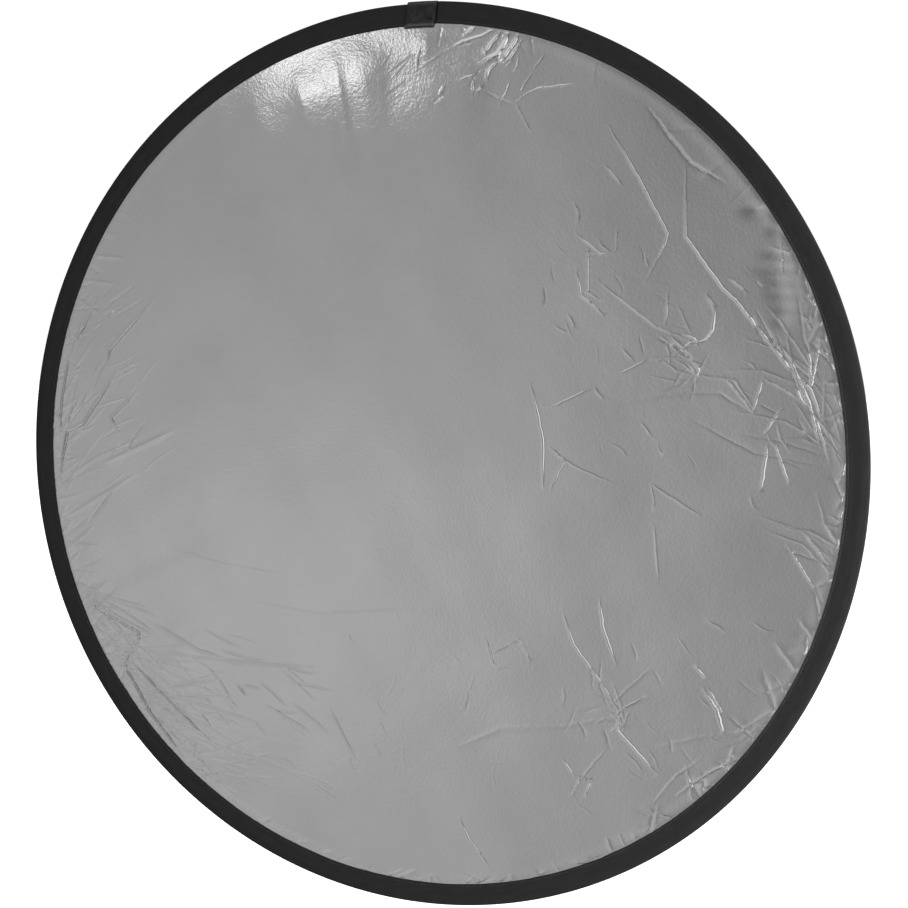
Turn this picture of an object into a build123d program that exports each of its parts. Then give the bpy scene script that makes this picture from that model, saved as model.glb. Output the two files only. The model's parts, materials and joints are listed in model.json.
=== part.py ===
from build123d import *
from math import cos, degrees, radians, sin, tan
import os

# Collapsible two-sided reflector disc. The disc stands in the XZ plane with its centre at the origin:
# the silver face looks along -Y, the white face along +Y, and +Z is up. Sizes are in millimetres.

# ---- Driving dimensions -------------------------------------------------------------------------
disc_radius = 535.0          # outer edge of the binding

# Fold: vertical strips hinged to each other, so that the disc bends like a taco
strip_count = 7              # strips across the disc, an odd number
fold_angle = 50.0            # degrees that each fold line turns, either way
fold_clearance = 0.35        # room left between two strips' binding at full fold

# Spring hoop: a flat steel band, easy to bend round the disc, with its width along Y
hoop_width = 6.0
hoop_thickness = 0.9
hoop_joint_gap = 0.3         # between the two butted ends of the band
sleeve_length = 36.0         # steel sleeve crimped over the butted ends
sleeve_wall = 0.4
sleeve_fit = 0.05            # between the band and the sleeve
rivet_diameter = 2.0
rivet_head_diameter = 3.6
rivet_head_height = 0.4
rivet_hole_clearance = 0.1   # on the diameter
rivet_pitch = 18.0           # between the two rivets, along the band

# Binding: a folded woven tape that holds the hoop and both fabrics
tape_thickness = 0.7
binding_width = 25.0         # seen from the front
sewn_margin = 6.0            # flat inner part of the tape, pressed on the fabrics
clip_land = 6.5              # flat part of the tape beside the hoop
edge_radius = 1.0            # outer corners of the folded tape
pocket_clearance = 0.3       # between the hoop's joint and the tape

# Fabrics
fabric_thickness = 0.5
fabric_layer_gap = 0.1       # between the silver and the white fabric
fabric_clearance = 0.05      # between a fabric and the tape
fabric_tuck = 12.0           # how far the fabrics reach in under the tape
fabric_fold_clearance = 0.25

# Seam along the inner edge of the binding
seam_inset = 3.0
thread_width = 0.7
thread_height = 0.35

# End tab: a short piece of webbing folded over the binding where the tape's ends meet
tab_width = 37.0
tab_thickness = 0.9
tab_clearance = 0.1
tab_overlap = 3.5            # how far the tab reaches past the binding's inner edge
tab_offset = 18.5            # along the rim, from the top of the disc to the tab's middle

# ---- Derived sizes ------------------------------------------------------------------------------
fabric_half = fabric_layer_gap / 2 + fabric_thickness
slot_half = fabric_half + fabric_clearance
margin_half = slot_half + tape_thickness

pocket_half = hoop_width / 2 + sleeve_fit + sleeve_wall + pocket_clearance
binding_half = pocket_half + tape_thickness
pocket_radius = disc_radius - tape_thickness

binding_inner = disc_radius - binding_width
margin_outer = binding_inner + sewn_margin
land_inner = disc_radius - edge_radius - clip_land
fabric_radius = binding_inner + fabric_tuck

sleeve_outer = pocket_radius - pocket_clearance - rivet_head_height
hoop_outer = sleeve_outer - sleeve_wall - sleeve_fit
hoop_inner = hoop_outer - hoop_thickness
sleeve_inner = hoop_inner - sleeve_fit - sleeve_wall

seam_radius = binding_inner + seam_inset

strip_pitch = 2 * disc_radius / strip_count
half_turn = radians(fold_angle / 2)
rim_gap = binding_half * tan(half_turn) + fold_clearance
fabric_gap = fabric_half * tan(half_turn) + fabric_fold_clearance
seam_gap = (margin_half + thread_height) * tan(half_turn) + fabric_fold_clearance

tab_inner = binding_inner - tab_overlap
tab_middle = tab_offset / disc_radius       # radians clockwise from the top
tab_half_angle = tab_width / 2 / disc_radius
rivet_half_angle = rivet_pitch / 2 / hoop_outer

reach = 4 * disc_radius                      # larger than the whole disc
side_names = ["inner", "mid", "outer"]


# ---- Small helpers ------------------------------------------------------------------------------
def strip_name(index):
    """The name of a strip, where 0 is the middle one and negative ones are on the left."""
    if index == 0:
        return "middle"
    side = "right" if index > 0 else "left"
    return side + "_" + side_names[abs(index) - 1]


def rim_plane(angle):
    """The plane of a rim section: local X is outward, local Y is along the disc's axis."""
    return Plane(
        origin=(0, 0, 0),
        x_dir=(sin(angle), 0, cos(angle)),
        z_dir=(-cos(angle), 0, sin(angle)),
    )


def radial_plane(angle, radius):
    """A plane square to the radius at one place on the rim."""
    return Plane(
        origin=(radius * sin(angle), 0, radius * cos(angle)),
        x_dir=(0, 1, 0),
        z_dir=(sin(angle), 0, cos(angle)),
    )


def save(part, name):
    part.label = name
    export_step(part, "parts/" + name + ".step")


def keep_strip(index, gap, upper=0):
    """Cut the current part down to one strip; upper is 1 for the top half, -1 for the bottom half."""
    with Locations((index * strip_pitch, 0, upper * reach / 2)):
        Box(strip_pitch - 2 * gap, reach, reach, mode=Mode.INTERSECT)


def keep_outer(index, gap):
    """Cut the current part down to the outermost strip, which has only one fold line."""
    side = 1 if index > 0 else -1
    edge = side * ((abs(index) - 0.5) * strip_pitch + gap)
    with Locations((edge + side * reach / 2, 0, 0)):
        Box(reach, reach, reach, mode=Mode.INTERSECT)


# ---- Sections, drawn once for the whole rim -----------------------------------------------------
def binding_section():
    """The folded tape: a flat sewn margin, a taper, a flat land and a pocket round the hoop."""
    with BuildSketch(Plane.XY) as section:
        with BuildLine():
            upper = Polyline(
                (binding_inner, slot_half),
                (binding_inner, margin_half),
                (margin_outer, margin_half),
                (land_inner, binding_half),
                (disc_radius - edge_radius, binding_half),
            )
            RadiusArc(upper @ 1, (disc_radius, binding_half - edge_radius), edge_radius)
            Line((disc_radius, binding_half - edge_radius), (disc_radius, 0))
            Line((disc_radius, 0), (pocket_radius, 0))
            Line((pocket_radius, 0), (pocket_radius, pocket_half))
            Polyline(
                (pocket_radius, pocket_half),
                (land_inner, pocket_half),
                (margin_outer, slot_half),
                (binding_inner, slot_half),
            )
        make_face()
        mirror(about=Plane.XZ)
    return section.sketch


def rectangle_section(inner, outer, half):
    with BuildSketch(Plane.XY) as section:
        with Locations(((inner + outer) / 2, 0)):
            Rectangle(outer - inner, 2 * half)
    return section.sketch


def thread_section(base):
    """Beads of thread, pressed flat, standing on both faces of a layer at a height from the middle."""
    with BuildSketch(Plane.XY) as section:
        with Locations((seam_radius, base + thread_height / 2)):
            Rectangle(thread_width, thread_height)
        mirror(about=Plane.XZ)
    return section.sketch


rim_parts = {
    "edge_binding": (binding_section(), rim_gap),
    "spring_hoop": (rectangle_section(hoop_inner, hoop_outer, hoop_width / 2), rim_gap),
}
outermost = strip_count // 2
strips = range(-outermost, outermost + 1)
os.makedirs("parts", exist_ok=True)

# ---- Fabrics: one silver and one white panel in each strip --------------------------------------
fabric_middle = (fabric_layer_gap + fabric_thickness) / 2
for index in strips:
    for fabric, side in [("silver_panel", -1), ("white_panel", 1)]:
        with BuildPart() as panel:
            with BuildSketch(Plane.XZ.offset(-side * fabric_middle)):
                Circle(fabric_radius)
            extrude(amount=fabric_thickness / 2, both=True)
            if abs(index) == outermost:
                keep_outer(index, fabric_gap)
            else:
                keep_strip(index, fabric_gap)
        save(panel.part, fabric + "_" + strip_name(index))

# ---- Binding and hoop: a top arc and a bottom arc in each strip, and one side arc at each end ---
for kind, (section, gap) in rim_parts.items():
    for index in strips:
        if abs(index) == outermost:
            with BuildPart() as arc:
                revolve(section, axis=Axis.Y)
                keep_outer(index, gap)
            save(arc.part, kind + "_" + strip_name(index))
            continue
        for level, upper in [("top", 1), ("bottom", -1)]:
            if kind == "spring_hoop" and index == 0 and level == "top":
                continue
            with BuildPart() as arc:
                revolve(section, axis=Axis.Y)
                keep_strip(index, gap, upper)
            save(arc.part, kind + "_" + level + "_" + strip_name(index))

# ---- Ends of the hoop: the top middle arc is cut where the band's ends butt, and drilled --------
for end, side in [("left_end", -1), ("right_end", 1)]:
    with BuildPart() as hoop_end:
        revolve(rim_parts["spring_hoop"][0], axis=Axis.Y)
        keep_strip(0, rim_gap, 1)
        joint = rim_plane(tab_middle)
        keep_side = Plane(origin=(0, 0, 0), x_dir=(0, 1, 0), z_dir=joint.z_dir)
        kept = Keep.BOTTOM if side > 0 else Keep.TOP
        split(bisect_by=keep_side.offset(-side * hoop_joint_gap / 2), keep=kept)
        hole_angle = tab_middle + side * rivet_half_angle
        with BuildSketch(radial_plane(hole_angle, hoop_outer)):
            Circle((rivet_diameter + rivet_hole_clearance) / 2)
        extrude(amount=2 * hoop_thickness, both=True, mode=Mode.SUBTRACT)
    save(hoop_end.part, "spring_hoop_" + end)

# ---- Sleeve over the butted ends, with a rivet through each end ---------------------------------
sleeve_half_angle = sleeve_length / 2 / hoop_outer
with BuildPart() as sleeve:
    with BuildSketch(rim_plane(tab_middle - sleeve_half_angle)):
        with Locations(((sleeve_inner + sleeve_outer) / 2, 0)):
            Rectangle(sleeve_outer - sleeve_inner, hoop_width + 2 * (sleeve_fit + sleeve_wall))
        with Locations(((hoop_inner + hoop_outer) / 2, 0)):
            Rectangle(hoop_thickness + 2 * sleeve_fit, hoop_width + 2 * sleeve_fit, mode=Mode.SUBTRACT)
    revolve(axis=Axis.Y, revolution_arc=degrees(2 * sleeve_half_angle))
    for side in [-1, 1]:
        with BuildSketch(radial_plane(tab_middle + side * rivet_half_angle, hoop_outer)):
            Circle((rivet_diameter + rivet_hole_clearance) / 2)
        extrude(amount=2 * hoop_thickness, both=True, mode=Mode.SUBTRACT)
save(sleeve.part, "hoop_joint_sleeve")

for name, side in [("hoop_rivet_left", -1), ("hoop_rivet_right", 1)]:
    angle = tab_middle + side * rivet_half_angle
    with BuildPart() as rivet:
        with BuildSketch(radial_plane(angle, sleeve_inner)):
            Circle(rivet_diameter / 2)
        extrude(amount=sleeve_outer - sleeve_inner)
        with BuildSketch(radial_plane(angle, sleeve_outer)):
            Circle(rivet_head_diameter / 2)
        extrude(amount=rivet_head_height)
        with BuildSketch(radial_plane(angle, sleeve_inner)):
            Circle(rivet_head_diameter / 2)
        extrude(amount=-rivet_head_height)
    save(rivet.part, name)

# ---- Seam thread: a bead on each face of the binding, left out under the end tab ----------------
for index in strips:
    with BuildPart() as seam:
        revolve(thread_section(margin_half), axis=Axis.Y)
        if abs(index) == outermost:
            keep_outer(index, seam_gap)
        else:
            keep_strip(index, seam_gap)
        if index == 0:
            with Locations(radial_plane(tab_middle, seam_radius)):
                Box(reach, tab_width + 2 * tab_clearance, binding_width, mode=Mode.SUBTRACT)
    save(seam.part, "seam_thread_" + strip_name(index))


# ---- End tab: the binding's outline with clearance, folded over the rim -------------------------
def tab_outline(offset_by):
    """Half of the outline of a layer that lies over the binding, at a distance from it."""
    return [
        (tab_inner, 0),
        (tab_inner, fabric_half + offset_by),
        (binding_inner - offset_by, fabric_half + offset_by),
        (binding_inner - offset_by, margin_half + offset_by),
        (margin_outer, margin_half + offset_by),
        (land_inner, binding_half + offset_by),
        (disc_radius + offset_by, binding_half + offset_by),
        (disc_radius + offset_by, 0),
    ]


tab_outer_offset = tab_clearance + tab_thickness
with BuildPart() as tab:
    with BuildSketch(rim_plane(tab_middle - tab_half_angle)):
        with BuildLine():
            Polyline(*tab_outline(tab_outer_offset), close=True)
        make_face()
        with BuildLine():
            Polyline(*tab_outline(tab_clearance), close=True)
        make_face(mode=Mode.SUBTRACT)
    revolve(axis=Axis.Y, revolution_arc=degrees(2 * tab_half_angle))
    mirror(about=Plane.XZ)
save(tab.part, "end_tab")

# ---- Tab stitching: the seam carried on over the tab's two faces --------------------------------
with BuildPart() as tab_seam:
    revolve(thread_section(margin_half + tab_outer_offset), axis=Axis.Y)
    with Locations(radial_plane(tab_middle, seam_radius)):
        Box(reach, tab_width, binding_width, mode=Mode.INTERSECT)
save(tab_seam.part, "tab_stitching")
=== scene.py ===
import json
from math import asin, cos, pi, radians, sin, sqrt

import bmesh
import bpy
import numpy as np
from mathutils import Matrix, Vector
from mathutils.geometry import delaunay_2d_cdt


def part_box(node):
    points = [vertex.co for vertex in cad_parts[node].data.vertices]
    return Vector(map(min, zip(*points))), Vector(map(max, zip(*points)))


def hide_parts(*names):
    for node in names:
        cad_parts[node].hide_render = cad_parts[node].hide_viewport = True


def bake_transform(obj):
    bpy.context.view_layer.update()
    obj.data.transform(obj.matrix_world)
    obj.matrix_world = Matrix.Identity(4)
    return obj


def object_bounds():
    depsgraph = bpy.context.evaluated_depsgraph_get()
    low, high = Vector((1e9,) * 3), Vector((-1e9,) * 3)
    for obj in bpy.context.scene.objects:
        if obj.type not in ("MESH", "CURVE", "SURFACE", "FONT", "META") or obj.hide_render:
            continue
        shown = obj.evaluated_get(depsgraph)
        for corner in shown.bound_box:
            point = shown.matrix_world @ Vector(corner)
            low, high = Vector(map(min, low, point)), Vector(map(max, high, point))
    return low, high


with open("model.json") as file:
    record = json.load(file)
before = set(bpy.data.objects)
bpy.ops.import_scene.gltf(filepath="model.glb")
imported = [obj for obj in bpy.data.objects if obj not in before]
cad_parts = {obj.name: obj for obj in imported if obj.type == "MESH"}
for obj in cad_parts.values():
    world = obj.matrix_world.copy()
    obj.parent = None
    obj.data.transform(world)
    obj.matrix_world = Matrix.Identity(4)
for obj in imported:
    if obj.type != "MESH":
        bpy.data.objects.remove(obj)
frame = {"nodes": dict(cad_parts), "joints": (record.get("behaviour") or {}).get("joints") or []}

cad_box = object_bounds()

# A collapsible reflector disc: two cloths held round by a steel hoop in a folded edge tape. The silver
# cloth faces -Y, the white one +Y, and +Z is up. Each cloth, the tape, the hoop and the seam run through
# the whole disc. They are made whole, then cut at the middles of the frame's strips into lengths.

mm = 0.001
cm = 0.01


# ---- Sizes read from the frame ------------------------------------------------------------------
def rim_span(node):
    """Inner radius, outer radius and half thickness of one of the frame's rim pieces."""
    corners = np.array([v.co for v in frame["nodes"][node].data.vertices])
    radii = np.hypot(corners[:, 0], corners[:, 2])
    return radii.min(), radii.max(), corners[:, 1].max()


strip_pitch = 2 * min(abs(joint["pos_m"][0]) for joint in frame["joints"])
tape_inner, disc_radius, _ = rim_span("edge_binding_bottom_middle")
hoop_inner, hoop_outer, hoop_half = rim_span("spring_hoop_bottom_middle")
cloth_edge = rim_span("silver_panel_middle")[1]
cloth_half = -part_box("silver_panel_middle")[0].y
tab_low, tab_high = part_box("end_tab")
tab_middle = (tab_low.x + tab_high.x) / 2 / disc_radius
tab_width = tab_high.x - tab_low.x

side_names = ["inner", "mid", "outer"]
zone_names = ["far_left", "left", "centre_left", "centre_right", "right", "far_right"]


def strip_name(index):
    if index == 0:
        return "middle"
    return ("right_" if index > 0 else "left_") + side_names[abs(index) - 1]


# ---- Shape of the whole disc --------------------------------------------------------------------
saddle = 0.0087            # the hoop isn't quite flat: its sides come forward, its top and bottom go back


def bow(x, z):
    """How far the disc's middle surface stands off its plane, along +Y."""
    return -saddle * (x * x - z * z) / disc_radius


def smooth_step(value, low, high):
    t = np.clip((value - low) / (high - low), 0, 1)
    return t * t * (3 - 2 * t)


def ripple(angle, turns, seed):
    """A smooth closed wobble round the rim, about -1 to 1, of a few random waves."""
    draw = np.random.default_rng(seed)
    total = np.zeros_like(angle)
    for turn in turns:
        total += np.sin(turn * angle + draw.uniform(0, 2 * pi)) * draw.uniform(0.6, 1.0)
    return total / len(turns)


# ---- Folds in the cloth -------------------------------------------------------------------------
# Creases left by folding the disc away, each a line of points in centimetres right of and above the
# disc's middle, with the slope of its steep flank and that flank's width in millimetres. A slope below
# zero is a crease that goes into the cloth.
right_folds = [
    (
        [(33.3, 33), (33.4, 25.7), (37.6, 20), (39, 18.8), (45, 11.3), (47.2, 9.2), (48.6, 5.5), (50.5, 1)],
        0.30, 0.88,
    ),
    ([(24.5, 38.2), (28.2, 32), (31.4, 26.1), (31.1, 24.9), (28.9, 20.7)], 0.26, 0.82),
    ([(28.9, 39.9), (33.8, 33.7), (37.9, 31.1)], -0.18, 1.36),
    ([(21, 26.3), (23.8, 24), (25.6, 24.2)], 0.34, 0.68),
    ([(25.6, 26.6), (25.6, 24.2)], 0.25, 0.61),
    ([(23.9, 24), (22.3, 24.3), (22.3, 19.8), (23.9, 18.9)], 0.34, 0.68),
    ([(21, 22.3), (21.5, 19.5), (24.2, 17.3)], 0.36, 0.75),
    ([(23.9, 20.8), (26.3, 18.9), (30.2, 15.9), (34, 14.5)], 0.24, 0.75),
    ([(31.5, 19.5), (31.3, 16.3)], 0.36, 0.61),
    ([(24.2, 33.8), (26.1, 31.6)], 0.20, 0.82),
    ([(36.8, 18.3), (36.6, 15.6), (35.7, 14.4), (34, 14.1), (32.1, 12.6)], 0.50, 0.82),
    ([(33.2, 15.2), (34.6, 14.6), (35.0, 13.8)], 0.45, 0.68),
    ([(34.2, 12.3), (35.1, 11.2), (34.6, 9.6)], 0.55, 0.75),
    ([(33.9, 11.9), (34.6, 10.9), (33.9, 9.9)], 0.45, 0.61),
    ([(26.1, 10.7), (29.3, 12.4)], 0.34, 0.75),
    ([(29.3, 12.4), (32.1, 12.6)], 0.18, 0.95),
    ([(32.1, 12.6), (35.2, 10.6), (39.0, 10.2), (41.5, 6.5)], 0.16, 1.09),
    ([(15.6, 9.4), (16.4, 6.3), (17.1, 3.1), (17.1, -2.3)], 0.42, 0.82),
    ([(16.8, 6.9), (18.5, 7.1), (23.3, 9.3)], 0.32, 0.75),
    ([(17.9, 2.3), (19.7, 0.9), (18, -2.6)], 0.36, 0.68),
    ([(18.0, 1.9), (21.0, 0.2), (25.5, -1.6)], 0.18, 0.82),
    ([(27.3, 7.6), (34.1, 8.7), (37.4, 8.7), (41.2, 6.4)], -0.10, 1.6),
    ([(42.1, 10.4), (41, 6.4)], 0.45, 0.68),
    ([(37.7, 10.7), (41.2, 6.6)], 0.28, 0.75),
    ([(42.1, 10.4), (44.8, 8.9), (47.4, 7.2)], 0.24, 0.75),
    ([(44, 7), (42.2, 4.3)], 0.48, 0.68),
    ([(42.7, 3.2), (42.1, -1.7)], 0.52, 0.75),
    ([(43.3, 3.8), (45.1, -1)], 0.45, 0.68),
    ([(46.9, 13.9), (47.2, 9.7), (48.2, 15)], 0.50, 0.75),
    ([(44.8, 12.7), (47.0, 8.0), (48.3, 3.0)], 0.45, 0.75),
    ([(45.5, 10.3), (47.7, 6.3), (49.4, 1.2)], 0.40, 0.68),
    ([(43.8, 25.1), (44, 21.4)], 0.35, 0.61),
    ([(38.1, 21.2), (40.2, 19.6)], 0.22, 0.75),
    ([(46.5, -5.8), (49.4, -9.4)], 0.40, 0.75),
    ([(45.0, -7.5), (48.2, -12.5)], 0.30, 0.75),
    ([(29.7, -1.4), (35.3, -4.7)], 0.20, 0.95),
    ([(30.2, -6.0), (30.8, -12.0)], 0.14, 0.95),
]
lower_folds = [
    ([(24, -14.9), (24.4, -18), (25.9, -22)], 0.46, 0.75),
    ([(19.7, -16.9), (20.9, -20.3), (24, -24.1), (26.2, -27.4)], 0.46, 0.75),
    ([(25.6, -28.4), (26.9, -27), (29.3, -25.6)], 0.50, 0.75),
    ([(26.2, -27.4), (26.2, -29.7), (28.3, -31.8), (30.6, -34)], 0.55, 0.82),
    ([(25.4, -27.9), (26.8, -28.9), (25.9, -30.1)], 0.45, 0.68),
    ([(36.1, -24.2), (37.6, -26.3), (38.4, -29)], 0.65, 0.88),
    ([(36.6, -24), (38.2, -26.6)], 0.55, 0.68),
    ([(35.3, -21.8), (36, -22.5)], 0.55, 0.82),
    ([(19.7, -33.9), (20.9, -35.5)], 0.45, 0.75),
    ([(21.7, -35.8), (20.8, -37.9)], 0.42, 0.68),
    ([(24.7, -32.2), (21.7, -36)], 0.26, 0.75),
    ([(20.9, -35.5), (23, -35.9), (22.4, -37.7)], 0.4, 0.68),
    ([(6.7, -42.6), (8, -45), (10.3, -47.6)], 0.42, 0.82),
    ([(10.2, -20.8), (11.1, -23.5)], 0.36, 0.68),
    ([(13.0, -20.8), (14.3, -20.3), (15.6, -22.5)], 0.38, 0.68),
    ([(10.9, -22.0), (13.2, -20.9)], 0.26, 0.68),
    ([(6.8, -33.5), (11.9, -31.1), (19.3, -30), (26.1, -28.2)], 0.12, 2.04),
    ([(31, -31), (36, -29.4), (39.5, -28.7), (45.5, -24.4)], 0.16, 1.70),
    ([(35.7, -32.1), (33.1, -34.1), (30.5, -37.5)], 0.3, 0.88),
    ([(42.6, -29.6), (44.6, -27.6), (46.6, -23.5)], 0.42, 0.95),
    ([(33, -36.5), (36.5, -33.6), (40.5, -31)], 0.4, 1.09),
]
left_folds = [
    ([(-49.5, -8.9), (-44, -5.8), (-38.5, -2.8)], 0.26, 1.5),
    ([(-40.6, 10.7), (-46.2, 3.5), (-48.6, 2.5), (-50.4, -4.8)], 0.42, 1.8),
    ([(-38, 7.7), (-41.8, 4.5), (-40.7, 2.5)], 0.33, 1.5),
    ([(-35.1, 19.6), (-41.8, 13.2), (-42.8, 10)], 0.33, 1.6),
    ([(-43.1, -1.4), (-32.4, 3.1)], 0.21, 2.2),
    ([(-48, 13.2), (-49.4, 6.7), (-49.9, 1.4)], 0.39, 1.6),
    ([(-44.3, 18.4), (-47.5, 13.9)], 0.33, 1.6),
    ([(-46.7, -19.7), (-38.2, -23.3), (-38.5, -25.7)], 0.42, 1.6),
    ([(-37.9, -25.4), (-29.1, -25.8), (-17.5, -25.9), (-10.5, -25.4)], 0.16, 1.4),
    ([(-36.7, -30.1), (-30.7, -31.6), (-20.4, -33.4)], 0.22, 1.3),
    ([(-30.8, -36.1), (-23.4, -37.6), (-16.6, -39.1)], 0.22, 1.3),
    ([(-41.6, -25.9), (-36.8, -33.5), (-31.6, -39.5)], 0.39, 1.8),
    ([(-16.1, -30.2), (-10.5, -34)], 0.16, 1.2),
    ([(-10.8, -30.3), (-7.1, -36.8)], 0.16, 1.2),
    ([(-36.6, -21.6), (-29.1, -24.9), (-24.7, -25.9)], 0.24, 1.6),
    ([(-39.8, -27.1), (-32, -33.4), (-26.3, -37.6)], 0.33, 1.6),
    ([(-33, -12.2), (-25, -13.6), (-15.5, -14.6)], 0.09, 1.2),
    ([(-24.5, -17.8), (-12, -19.0), (3, -17.2)], 0.09, 1.3),
]
top_folds = [
    ([(8.4, 50.1), (7.2, 49.3)], 0.42, 1.6),
    ([(10.7, 49.6), (9.2, 49.0), (7.0, 48.6), (5.4, 48.0)], 0.42, 1.5),
    ([(6.5, 48.1), (8.4, 48.3)], 0.28, 0.8),
    ([(12.5, 49.2), (12.1, 47.9), (11.3, 46.8), (9.0, 46.0)], 0.42, 2.4),
    ([(11.6, 49.3), (10.4, 48.1), (9.7, 47.0)], 0.36, 1.6),
    ([(13.8, 48.9), (13.4, 48.1), (12.6, 47.2), (11.9, 46.0)], 0.40, 1.5),
    ([(14.3, 48.2), (13.4, 47.2), (12.6, 46.2), (11.9, 45.8)], 0.34, 1.3),
    ([(12.6, 48.4), (11.2, 45.9)], -0.45, 1.0),
    ([(11.2, 46.1), (10.2, 45.2), (10.0, 44.3)], 0.40, 1.3),
    ([(8.9, 45.9), (10.0, 46.4), (10.8, 46.6)], -0.45, 0.7),
    ([(8.8, 44.8), (7.5, 44.6), (6.3, 44.2)], 0.26, 1.2),
    ([(8.3, 44.3), (8.3, 42.7)], 0.36, 0.8),
    ([(9.3, 43.3), (8.7, 42.8)], 0.42, 0.9),
    ([(4.7, 43.7), (4.4, 43.1)], 0.30, 0.8),
    ([(16.9, 46.4), (15.7, 45.0)], 0.24, 0.7),
    ([(9.9, 42.7), (11.9, 41.8), (13.2, 41.2)], -0.2, 0.9),
    ([(13.2, 41.2), (15.1, 42.4), (16.5, 42.8), (21.2, 43)], 0.24, 0.8),
    ([(13.5, 41.3), (15.3, 38.1)], 0.18, 0.8),
    ([(1.6, 48.3), (1.2, 46.1)], 0.18, 0.8),
    ([(-2.6, 45.8), (0.6, 47.8)], 0.15, 0.8),
    ([(-1.8, 45.4), (-0.2, 46.8)], 0.18, 0.7),
    ([(-3.4, 46.6), (-2.2, 48.0)], 0.15, 0.7),
    ([(1.8, 46.2), (4.2, 47.5)], 0.22, 0.8),
    ([(-3.2, 43.2), (-0.6, 44.6)], 0.20, 0.7),
]

# Soft dents beside the rim: middle and half length in centimetres, and the slope of the upper side.
dents = [
    (41.0, 28.4, 1.2, 0.34), (43.2, 26.2, 0.8, 0.22), (43.0, 23.7, 1.1, 0.26), (43.0, 22.1, 1.5, 0.34),
    (43.4, 20.8, 1.1, 0.28), (43.7, 19.4, 1.2, 0.27), (44.0, 18.0, 1.1, 0.24), (44.0, 16.6, 0.9, 0.2),
]

# Fans of creases that spread from one place: the place in centimetres, the first and last direction in
# degrees, how many, their length in centimetres and their slope.
crease_fans = [
    ((-46.5, -19), -8, -52, 18, (5, 17), 0.28),
    ((-43.5, -25), 6, -50, 20, (5, 22), 0.28),
    ((-38.5, -32), 14, -42, 20, (5, 20), 0.27),
    ((-31, -39.5), 20, -30, 13, (4, 14), 0.25),
    ((-50.3, -5), 24, 74, 13, (4, 15), 0.28),
    ((-50, 2), 30, 86, 13, (4, 12), 0.28),
    ((-48.5, 12), 40, 80, 6, (4, 9), 0.30),
    ((49.5, 2), 108, 172, 10, (4, 16), 0.30),
    ((47, 10), 112, 160, 6, (4, 12), 0.26),
    ((49.6, -9), 120, 170, 6, (4, 11), 0.26),
    ((35, 12), 130, 250, 8, (2, 7), 0.28),
    ((26, -28.5), 20, 200, 8, (2, 7), 0.28),
    ((44, -28), 165, 225, 6, (3, 9), 0.22),
]

# Small creases scattered over a patch: the patch's middle and half size in centimetres, how many, their
# direction in degrees with its spread, their length in centimetres, and their slope.
small_crease_patches = [
    ((35, 8), (12, 14), 26, -52, 34, (1, 3.5), 0.24),
    ((25, 20), (8, 10), 14, -60, 34, (0.8, 2.5), 0.24),
    ((31, -26), (11, 11), 24, -48, 32, (0.8, 3), 0.26),
    ((-43, 4), (6, 16), 36, 40, 25, (2.0, 6.0), 0.26),
    ((-30, -31), (15, 10), 60, -24, 22, (1.5, 8.0), 0.26),
    ((8, 45), (8, 4), 14, 38, 24, (1, 3.0), 0.14),
    ((4, -27), (18, 14), 22, -50, 60, (0.8, 3.5), 0.14),
]

# Gathers that run inward from the edge tape: the stretch of rim in degrees clockwise from the top, how
# many, their length in centimetres, their slope and their width in millimetres.
gather_stretches = [
    (2, 30, 8, (1, 3), 0.10, 1.0),
    (40, 62, 6, (1, 4), 0.08, 2.5),
    (62, 112, 40, (0.6, 2.5), 0.2, 1.5),
    (112, 150, 26, (0.8, 4), 0.22, 1.6),
    (150, 215, 30, (0.5, 1.6), 0.14, 1.6),
    (215, 258, 50, (1.5, 6), 0.2, 1.6),
    (258, 300, 34, (1.5, 5), 0.17, 1.4),
    (300, 322, 8, (1, 3), 0.07, 1.6),
]

# Where the cloth is most crumpled: a place and its reach in centimetres, and how much.
worn_places = [
    (36, 8, 15, 0.8), (24, 22, 9, 0.5), (33, -26, 12, 0.7), (44, -28, 7, 0.6), (-45, 4, 9, 0.5),
    (-38, -28, 12, 0.8), (-22, -32, 10, 0.4), (9, 46, 8, 0.7), (-12, 46, 9, 0.5), (5, -28, 12, 0.25),
]

# Pleats that hang from the rim: degrees clockwise from the top, half width in degrees, height in
# millimetres and length in centimetres. The last number is 1 for a soft pleat and 0 for a sharp crest.
drapes = [
    (-25.6, 2.0, 0.3, 6, 1), (-17.8, 2.6, 0.9, 6, 0), (-14.4, 3.4, 0.9, 8, 1), (-11.3, 0.9, 0.6, 6, 0),
    (-7.3, 2.8, 0.8, 6, 1), (-4.4, 1.0, 0.2, 5, 0), (2.9, 2.6, 0.6, 2, 0),
    (9.5, 2, 0.2, 5, 1), (14, 2, -0.2, 5, 1), (231, 2.2, 0.5, 9, 1), (238, 2.4, -0.6, 10, 1),
    (246, 2.2, 0.5, 9, 1),
]


def crinkle(points, draw, sway=0.6 * mm, step=4.5 * mm):
    """A fold's line in metres, with points added along it that stray a little to either side."""
    line = [Vector(points[0])]
    for start, end in zip(points, points[1:]):
        run = Vector(end) - Vector(start)
        count = max(1, round(run.length / step))
        side = Vector((-run.y, run.x)).normalized()
        for k in range(1, count + 1):
            stray = 0 if k == count else draw.uniform(-sway, sway)
            line.append(Vector(start) + run * k / count + side * stray)
    return np.array(line)


def bent_crease(start, heading, length, draw, sway):
    """A crease that changes direction a little half way, all in centimetres and radians."""
    bend = draw.uniform(-1, 1) * sway / mm
    knee = (start[0] + length / 2 * cos(heading), start[1] + length / 2 * sin(heading))
    end = (knee[0] + length / 2 * cos(heading + bend), knee[1] + length / 2 * sin(heading + bend))
    return crinkle([(a * cm, b * cm) for a, b in (start, knee, end)], draw, sway)


def straightness(x):
    """How far a crease strays from its line: the left side's creases are soft and straight."""
    return 0.2 * mm if x < 0 else 0.5 * mm


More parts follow.
